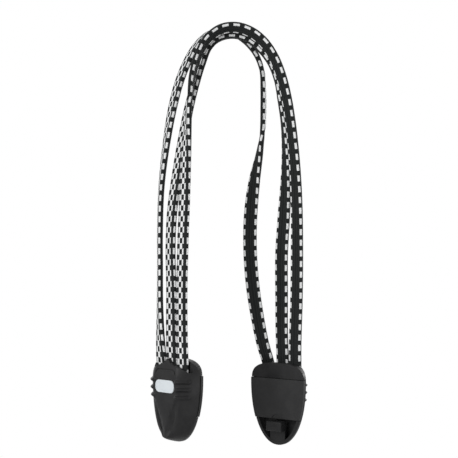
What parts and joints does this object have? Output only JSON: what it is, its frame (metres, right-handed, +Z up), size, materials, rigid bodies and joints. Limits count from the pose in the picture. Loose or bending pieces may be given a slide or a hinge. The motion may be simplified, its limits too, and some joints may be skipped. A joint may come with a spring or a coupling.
{
  "type": "elastic luggage strap",
  "caption": "Flat woven elastic bands joining egg-shaped plastic hook heads, hung by its crown, for holding luggage down on a carrier.",
  "frame": {"origin": "the hang point: underside of the middle band's crown, where a peg would carry the strap", "axes": "+Z up, against the hang; the right head's back faces -Y and its width lies along X"},
  "size_m": [0.0902, 0.0888, 0.2958],
  "materials": {
    "band_weave": "black woven elastic with white dashes along both edges and a white checked line on its outer face",
    "rubber_core": "natural rubber threads, hidden inside the weave",
    "head_plastic": "black moulded plastic with a fine satin grain",
    "label_plastic": "smooth off-white plate, left bare",
    "clip_steel": "bright folded steel strip, hidden inside the head"
  },
  "bodies": {
    "crown": {"near_left_leg_sleeve": "band_weave", "near_left_leg_core": "rubber_core", "near_crown_sleeve": "band_weave", "near_crown_core": "rubber_core", "near_right_leg_sleeve": "band_weave", "near_right_leg_core": "rubber_core", "middle_left_leg_sleeve": "band_weave", "middle_left_leg_core": "rubber_core", "middle_crown_sleeve": "band_weave", "middle_crown_core": "rubber_core", "middle_right_leg_sleeve": "band_weave", "middle_right_leg_core": "rubber_core", "far_left_leg_sleeve": "band_weave", "far_left_leg_core": "rubber_core", "far_crown_sleeve": "band_weave", "far_crown_core": "rubber_core", "far_right_leg_sleeve": "band_weave", "far_right_leg_core": "rubber_core"},
    "left_head": {"left_head_shell": "head_plastic", "left_label_plate": "label_plastic", "left_near_band_clip": "clip_steel", "left_middle_band_clip": "clip_steel", "left_far_band_clip": "clip_steel"},
    "left_cover": {"left_back_cover": "head_plastic"},
    "left_tongue": {"left_hook_tongue": "head_plastic"},
    "right_head": {"right_head_shell": "head_plastic", "right_label_plate": "label_plastic", "right_near_band_clip": "clip_steel", "right_middle_band_clip": "clip_steel", "right_far_band_clip": "clip_steel"},
    "right_cover": {"right_back_cover": "head_plastic"},
    "right_tongue": {"right_hook_tongue": "head_plastic"}
  },
  "joints": [
    {"name": "left_stretch", "type": "slide", "parent": "crown", "child": "left_head", "axis": [0, 0, -1], "range_m": [0, 0.12], "stiffness_N_per_m": 120, "springref_m": -0.004, "deforming": ["near_left_leg_sleeve", "near_left_leg_core", "middle_left_leg_sleeve", "middle_left_leg_core", "far_left_leg_sleeve", "far_left_leg_core"]},
    {"name": "right_stretch", "type": "slide", "parent": "crown", "child": "right_head", "axis": [0, 0, -1], "range_m": [0, 0.12], "stiffness_N_per_m": 120, "springref_m": -0.004, "deforming": ["near_right_leg_sleeve", "near_right_leg_core", "middle_right_leg_sleeve", "middle_right_leg_core", "far_right_leg_sleeve", "far_right_leg_core"]},
    {"name": "left_tongue_flex", "type": "hinge", "parent": "left_head", "child": "left_tongue", "pos_m": [-0.02236, -0.0316, -0.2771], "axis": [0.9914, -0.1305, 0], "range_deg": [0, 10], "stiffness_Nm_per_rad": 0.6},
    {"name": "right_tongue_flex", "type": "hinge", "parent": "right_head", "child": "right_tongue", "pos_m": [0.0202, 0.0299, -0.2832], "axis": [-1, 0, 0], "range_deg": [0, 10], "stiffness_Nm_per_rad": 0.6},
    {"name": "left_cover_pull", "type": "slide", "parent": "left_head", "child": "left_cover", "axis": [0.1305, 0.9914, 0], "range_m": [0, 0.02]},
    {"name": "right_cover_pull", "type": "slide", "parent": "right_head", "child": "right_cover", "axis": [0, -1, 0], "range_m": [0, 0.02]}
  ]
}
